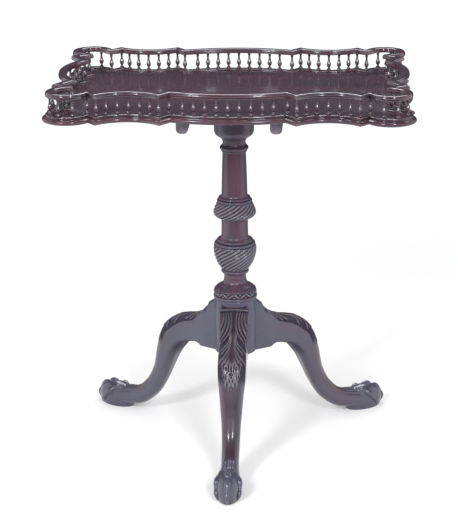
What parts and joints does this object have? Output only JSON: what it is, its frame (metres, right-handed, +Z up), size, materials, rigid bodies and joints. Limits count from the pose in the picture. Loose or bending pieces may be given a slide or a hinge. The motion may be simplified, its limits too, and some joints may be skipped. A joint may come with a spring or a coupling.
{
  "type": "tilt-top tripod table",
  "caption": "Tilt-top tripod tea table with a cusped top, a baluster gallery, a spiral-carved pillar and cabriole legs with claw-and-ball feet.",
  "frame": {"origin": "on the pillar's axis at floor level", "axes": "+Z up; +X along the top's long side; the front leg and the front of the top towards -Y"},
  "size_m": [0.6694, 0.5713, 0.7349],
  "materials": {
    "top_mahogany": "french polished",
    "gallery_mahogany": "polished",
    "pillar_mahogany": "polished",
    "leg_mahogany": "polished",
    "bearer_mahogany": "dull, waxed",
    "iron": "forged, dark",
    "brass": "aged, satin"
  },
  "bodies": {
    "base": {"column": "pillar_mahogany", "leg_front": "leg_mahogany", "leg_back_right": "leg_mahogany", "leg_back_left": "leg_mahogany", "leg_strap": "iron", "strap_screw_front": "iron", "strap_screw_back_right": "iron", "strap_screw_back_left": "iron", "pivot_block": "pillar_mahogany", "tenon_wedge": "pillar_mahogany", "catch_keeper": "brass", "keeper_screw_left": "brass", "keeper_screw_right": "brass"},
    "top": {"top_board": "top_mahogany", "bearer_left": "bearer_mahogany", "bearer_right": "bearer_mahogany", "bearer_screw_left_front": "brass", "bearer_screw_left_back": "brass", "bearer_screw_right_front": "brass", "bearer_screw_right_back": "brass", "catch_plate": "brass", "catch_leaf": "brass", "catch_screw_left": "brass", "catch_screw_right": "brass", "balustrade_front": "gallery_mahogany", "balustrade_back": "gallery_mahogany", "balustrade_left": "gallery_mahogany", "balustrade_right": "gallery_mahogany", "balustrade_front_left_flank": "gallery_mahogany", "balustrade_front_right_flank": "gallery_mahogany", "balustrade_back_left_flank": "gallery_mahogany", "balustrade_back_right_flank": "gallery_mahogany", "balustrade_front_left_corner": "gallery_mahogany", "balustrade_front_right_corner": "gallery_mahogany", "balustrade_back_left_corner": "gallery_mahogany", "balustrade_back_right_corner": "gallery_mahogany", "handrail_front": "gallery_mahogany", "handrail_back": "gallery_mahogany", "handrail_left": "gallery_mahogany", "handrail_right": "gallery_mahogany", "handrail_front_left_flank": "gallery_mahogany", "handrail_front_right_flank": "gallery_mahogany", "handrail_back_left_flank": "gallery_mahogany", "handrail_back_right_flank": "gallery_mahogany", "handrail_front_left_corner": "gallery_mahogany", "handrail_front_right_corner": "gallery_mahogany", "handrail_back_left_corner": "gallery_mahogany", "handrail_back_right_corner": "gallery_mahogany"},
    "catch_bolt": {"catch_bolt": "brass", "catch_knob": "brass"}
  },
  "joints": [
    {"name": "top_tilt", "type": "hinge", "parent": "base", "child": "top", "pos_m": [0, 0.06, 0.6653], "axis": [-1, 0, 0], "range_deg": [0, 90]},
    {"name": "bolt_slide", "type": "slide", "parent": "top", "child": "catch_bolt", "axis": [0, 1, 0], "range_m": [0, 0.0115]}
  ]
}
